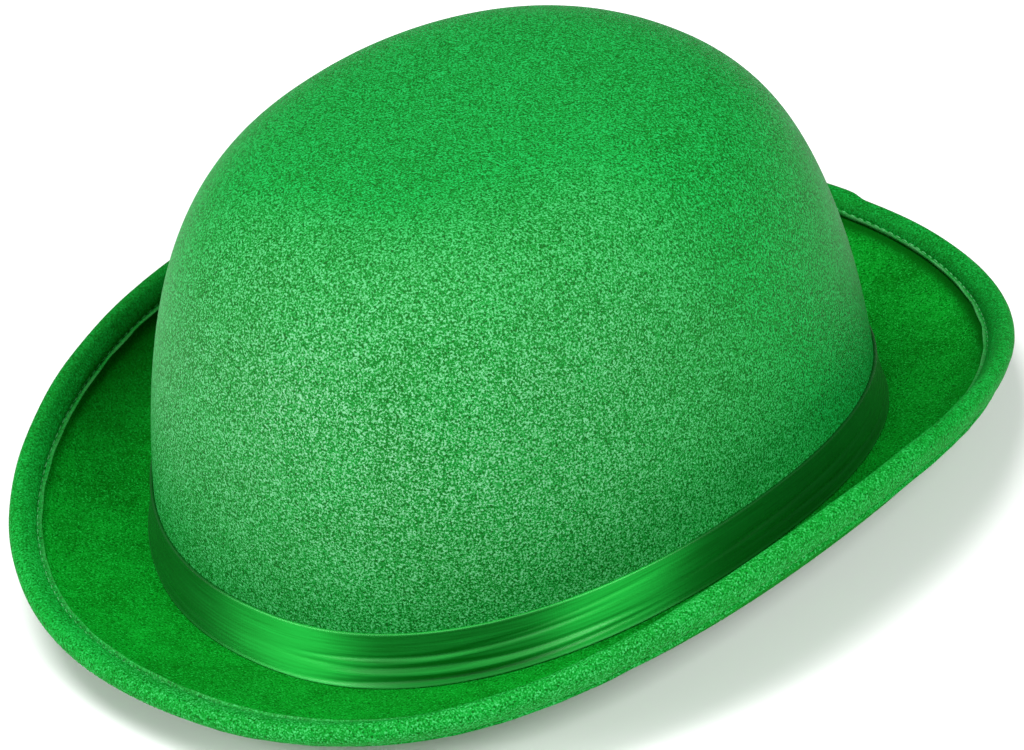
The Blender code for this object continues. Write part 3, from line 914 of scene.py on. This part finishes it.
def selvageAt(share):
    # the woven edges, raised and paler: the pale tone is partly the ribbon's own edge and partly a painted
    # highlight, strong at the foot of the ribbon, where the edge catches the light, and weak at its top
    return 0.45 * np.exp(-((share - 0.980) / 0.016) ** 2) + np.exp(-((share - 0.020) / 0.018) ** 2)


def makeBand():
    angle = evenAngles(band["around"])[0][:, None]
    share = np.linspace(0, 1, band["rows"])[None]
    turn = turnAt(share * bandHeight(angle), angle)
    slack = band["slack"] * ripple(angle, 71, 9, 3) * np.sin(share * math.pi)
    depth = -(band["gap"] + band["thickness"] + bandFoot(share)) - slack + creases(angle, share)
    outer = crownLayer(angle, turn, depth - band["selvage"] * selvageAt(share))
    sparse = share[:, ::3]
    behind = -(band["gap"] + bandFoot(sparse)) / 2
    inner = crownLayer(angle, turnAt(sparse * bandHeight(angle), angle), behind)
    section = np.concatenate([outer, inner[:, ::-1]], axis=1)
    marks = np.zeros(section.shape[:2])
    marks[:, :share.shape[1]] = selvageAt(share)
    piece = finishPiece(ringPiece("satinBand", section, satinRibbon, marks), "satin_ribbon", "hatband")


keeper = {"width": 0.0120, "foot": 0.0010, "overhang": 0.0004, "folds": 0.00018, "columns": 48,
          "rows": 40, "roundEdge": 0.00035}


def makeKeeper():
    # a short length of the same ribbon, wrapped upright over the join and gathered a little
    halfTurn = math.asin((keeper["width"] / 2 / crown["halfWidth"]) ** (crown["ovalPower"] / 2))
    across = np.linspace(-1, 1, keeper["columns"])
    angle = (quarter + across * halfTurn)[:, None]
    share = np.linspace(0, 1, keeper["rows"])[None]
    top = bandHeight(angle) + keeper["overhang"]
    level = keeper["foot"] + share * (top - keeper["foot"])
    lift = 2 * (band["gap"] + band["thickness"]) + bandFoot(level / bandHeight(angle))
    fading = 0.5 + 0.5 * np.cos(share * 5.0 + across[:, None])
    gather = keeper["folds"] * np.cos(across * 9.0)[:, None] * fading
    edge = keeper["roundEdge"] * (1 - np.abs(across[:, None]) ** 12)
    outer = crownLayer(angle, turnAt(level, angle), -(lift + gather * 0.6 + edge * 0.4))
    inner = crownLayer(angle, turnAt(level, angle), -(lift - band["thickness"] + 0.00005))
    columns, rows = outer.shape[:2]
    loop = np.concatenate([outer, inner[:, ::-1]], axis=1)
    quads, places, sides = gridQuads(columns, 2 * rows, False)
    uv = np.stack([sides * 0.0004, places * 0.00025], axis=-1)
    k = np.arange(rows - 1)
    startCap = np.stack([k, 2 * rows - 1 - k, 2 * rows - 2 - k, k + 1], axis=-1)
    endCap = startCap[:, ::-1] + (columns - 1) * 2 * rows
    quads = np.concatenate([quads, startCap, endCap])
    uv = np.concatenate([uv, np.zeros((len(startCap) * 2, 4, 2))])
    piece = buildMesh("hatbandKeeper", loop.reshape(-1, 3), quads, uv, satinRibbon)
    finishPiece(piece, "satin_ribbon", "hatband_keeper")


makeBand()
makeKeeper()
print("band made")


# ---- inside

sweat = {
    "depth": 0.0044,
    "thickness": 0.0010,
    "top": 0.0300,
    "drop": 0.0020,
    "around": 720,
    "reach": -0.005,        # the stitches run this far inside the crown's foot
    "stitchLevel": 0.0040,
    "stitchPitch": 0.0036,
    "stitchLength": 0.0024,
    "threadRadius": 0.00024,
    "stitchRows": (0.0, 0.0015, 0.0035, 0.0040, 0.0045, 0.0065),
}


def makeSweatband():
    # a soft strip with a sewn groove near its foot and its ends lapped at the back
    angle = evenAngles(sweat["around"])[0][:, None]
    level = np.concatenate([sweat["stitchRows"], np.linspace(0.009, sweat["top"], 12)])[None]
    wave = 0.0005 * ripple(angle, 81, 7, 4) * np.clip(level / sweat["top"], 0, 1) ** 2
    groove = 0.0003 * np.exp(-((level - sweat["stitchLevel"]) / 0.0006) ** 2)
    behind = wayFrom(quarter, angle)
    lap = 0.0004 / (1 + np.exp(-(behind + 0.05) / 0.004)) / (1 + np.exp((behind - 0.09) / 0.012))
    roundTop = 0.0003 * np.clip((level - 0.0285) / 0.0015, 0, 1) ** 2
    nearFace = sweat["depth"] + sweat["thickness"] + wave - groove + lap - roundTop
    farFace = sweat["depth"] + wave * 0.8 * np.clip(level / sweat["top"], 0, 1) + 0 * level
    inner = crownLayer(angle, turnAt(level, angle), nearFace)
    outer = crownLayer(angle, turnAt(level, angle), np.maximum(farFace, sweat["depth"]))
    footIn = inner[:, :1] - np.array([0, 0, sweat["drop"]])
    footOut = outer[:, :1] - np.array([0, 0, sweat["drop"]])
    section = np.concatenate([footIn, inner, outer[:, ::-1], footOut], axis=1)
    piece = finishPiece(ringPiece("innerBand", section, sweatTape), "sweatband_tape", "sweatband")
    makeSweatStitches()


def makeSweatStitches():
    angle = stitchEnds(sweat)
    depth = sweat["depth"] + sweat["thickness"]
    places = [crownLayer(end, turnAt(sweat["stitchLevel"], end), depth - 0.0002) for end in angle]
    inward = crownLayer(angle[0], turnAt(sweat["stitchLevel"], angle[0]), depth + 0.001) - places[0]
    normals = inward / np.linalg.norm(inward, axis=-1, keepdims=True)
    return makeStitches("sweatbandStitches", places, normals, sweat["threadRadius"], "sweatband_stitch")


lining = {
    "depth": 0.0032,
    "thickness": 0.0004,
    "start": 0.0140,
    "tipShare": 0.60,
    "flatHeight": 0.108,
    "around": 1440,
    "rings": 30,
    "pleats": 64,
    "pleatDepth": 0.0011,
    "slack": 0.0006,
    "seam": 0.0006,
    "tipAround": 360,
    "tipRings": 22,
    "tipSag": 0.0014,
    "welt": 0.0005,
    "areaShare": 0.79,      # the oval tip's area against the rectangle round it
}


def makeLiningSide():
    # a gathered strip: pleats that deepen from the sweatband up to the seam of the tip
    angle = evenAngles(lining["around"])[0][None]
    start = float(turnAt(lining["start"], 0.0))
    seam = lining["seam"] / (crown["halfWidth"] * lining["tipShare"])
    end = math.acos((lining["tipShare"] * (1 + seam)) ** (crown["wallPower"] / 2))
    turn = evenTurns(start, end, lining["rings"])[:, None]
    share = np.linspace(0, 1, lining["rings"])[:, None]
    swing = lining["pleats"] * (angle + 0.05 * ripple(angle, 91, 6, 3))
    uneven = 0.7 + 0.3 * ripple(angle, 95, 12, 7)
    pleat = (0.5 - 0.5 * np.cos(swing)) ** 1.5 * uneven * share ** 1.6
    slack = 0.5 + 0.5 * np.sin(share * math.pi) * (1 + 0.4 * ripple(angle, 97, 6, 2))
    fold = lining["pleatDepth"] * pleat + lining["slack"] * (slack - 0.5)
    depth = lining["depth"] + lining["thickness"] + fold
    inner = crownLayer(angle, turn, depth)
    outer = crownLayer(angle, turn, depth - lining["thickness"])
    section = np.concatenate([inner, outer[::-1]]).transpose(1, 0, 2)
    piece = finishPiece(ringPiece("liningSide", section, satinLining), "satin_lining", "lining_side")


def makeLiningTip():
    # an oval piece that sags a little from its seam, with a rolled seam edge
    angle = evenAngles(lining["tipAround"])[0][None]
    tipTurn = math.acos(lining["tipShare"] ** (crown["wallPower"] / 2))
    turn = evenTurns(tipTurn, nearTop, lining["tipRings"] + 1)[:-1][:, None]
    share = np.linspace(0, 1, lining["tipRings"])[:, None]
    sag = lining["tipSag"] * (1 - (1 - share) ** 2) + 0.0003 * ripple(angle, 99, 5, 2) * np.sin(share * 3)
    welt = lining["welt"] * np.exp(-(share / 0.05) ** 2)
    depth = lining["depth"] + sag + welt
    outer = crownLayer(angle, turn, depth)
    inner = crownLayer(angle, turn, depth + lining["thickness"])
    height = crownTop - lining["depth"] - lining["tipSag"]
    piece = domePiece("liningTip", outer, inner, height, height - lining["thickness"], satinLining)
    finishPiece(piece, "satin_lining", "lining_tip")


makeSweatband()
makeLiningSide()
makeLiningTip()
print("inside made")

# the solids whose shapes are right keep them and get their own finishes
for node, material in (("crown_shell", stiffFelt), ("brim_board", stiffFelt), ("edge_wire", drawnWire)):
    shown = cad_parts[node]
    shown.data.materials.clear()
    shown.data.materials.append(material)


# ---- studio

studio = {
    "floorSize": 6.0,
    "floorLevel": -0.0001,  # just under the hat, so that the two never share a plane
    "floorColour": (0.95, 0.95, 0.95),
    "worldColour": (1.0, 1.0, 1.0),
    "worldStrength": 0.15,
    "lights": (
        # name, degrees round the hat, degrees above the floor, distance, width, height, power
        ("softboxLeft", -116, 23, 1.6, 0.85, 0.70, 19),
        ("softboxRight", -7, 35, 1.6, 0.90, 0.85, 24),
        ("overhead", -135, 78, 2.4, 1.3, 1.3, 52),
    ),
    "aimLevel": 0.05,
    # the camera's direction and roll in degrees, and how far its aim lies from the hat's middle
    "azimuth": 46.11,
    "elevation": 32.57,
    "roll": -6.79,
    "distance": 1.657,
    "across": -0.0033,
    "aside": 0.0250,
    "lens": 213.85,
}


def floorMaterial():
    material, tree, shader = startMaterial("paleFloor", {"Roughness": 0.6, "Specular IOR Level": 0.2})
    grain = noiseNode(tree, {"Vector": objectPlace(tree)}, {"Scale": 3.0, "Detail": 2.0})
    pale = studio["floorColour"]
    tinted = mixColour(tree, grain, tuple(0.99 * part for part in pale), pale)
    linkShader(tree, shader, {"Base Color": tinted})
    return material


def makeFloor():
    half = studio["floorSize"] / 2
    mesh = bpy.data.meshes.new("floor")
    low = studio["floorLevel"]
    corners = [(-half, -half, low), (half, -half, low), (half, half, low), (-half, half, low)]
    mesh.from_pydata(corners, [], [(0, 1, 2, 3)])
    mesh.materials.append(floorMaterial())
    showObject("floor", mesh)


def aim(azimuth, elevation):
    # the direction from the hat's middle, from degrees round it and degrees above the floor
    turned, above = math.radians(azimuth), math.radians(elevation)
    return np.array([math.cos(turned) * math.cos(above), math.sin(turned) * math.cos(above), math.sin(above)])


def standAt(holder, place, right, up, back):
    axes = np.stack([right, up, back], axis=1)
    holder.matrix_world = Matrix.Translation(place) @ Matrix(axes.tolist()).to_4x4()


def makeLights():
    world = bpy.data.worlds.new("studioWorld")
    world.use_nodes = True
    shade = world.node_tree.nodes["Background"]
    shade.inputs["Color"].default_value = (*studio["worldColour"], 1)
    # the backdrop is seen white but gives only a low fill
    seen = addNode(world.node_tree, "ShaderNodeLightPath").outputs["Is Camera Ray"]
    strength = rampNode(world.node_tree, seen, 0.0, 1.0, studio["worldStrength"], 1.0)
    world.node_tree.links.new(strength, shade.inputs["Strength"])
    bpy.context.scene.world = world
    for name, azimuth, elevation, distance, width, height, power in studio["lights"]:
        light = bpy.data.lights.new(name, "AREA")
        light.shape = "RECTANGLE"
        light.size = width
        light.size_y = height
        light.energy = power
        back = aim(azimuth, elevation)
        right = np.cross([0, 0, 1], back)
        right /= np.linalg.norm(right)
        place = back * distance + np.array([0, 0, studio["aimLevel"]])
        standAt(showObject(name, light), place, right, np.cross(back, right), back)


def makeCamera():
    azimuth, elevation, roll = (math.radians(studio[key]) for key in ("azimuth", "elevation", "roll"))
    back = np.array([math.sin(azimuth) * math.cos(elevation), -math.cos(azimuth) * math.cos(elevation),
                     math.sin(elevation)])
    right = np.array([math.cos(azimuth), math.sin(azimuth), 0])
    up = np.cross(back, right)
    turnedRight = right * math.cos(roll) + up * math.sin(roll)
    turnedUp = -right * math.sin(roll) + up * math.cos(roll)
    middle = np.array([0, 0, studio["aimLevel"] + joinLevel])
    place = middle + back * studio["distance"] - turnedRight * studio["across"] - turnedUp * studio["aside"]
    camera = bpy.data.cameras.new("camera")
    camera.lens = studio["lens"]
    camera.sensor_width = 36
    camera.clip_start = 0.01
    camera.clip_end = 100
    holder = showObject("camera", camera)
    standAt(holder, place, turnedRight, turnedUp, back)
    bpy.context.scene.camera = holder


makeFloor()
makeLights()
makeCamera()
bpy.context.scene.view_settings.view_transform = "Standard"
bpy.context.view_layer.update()
print("studio made")
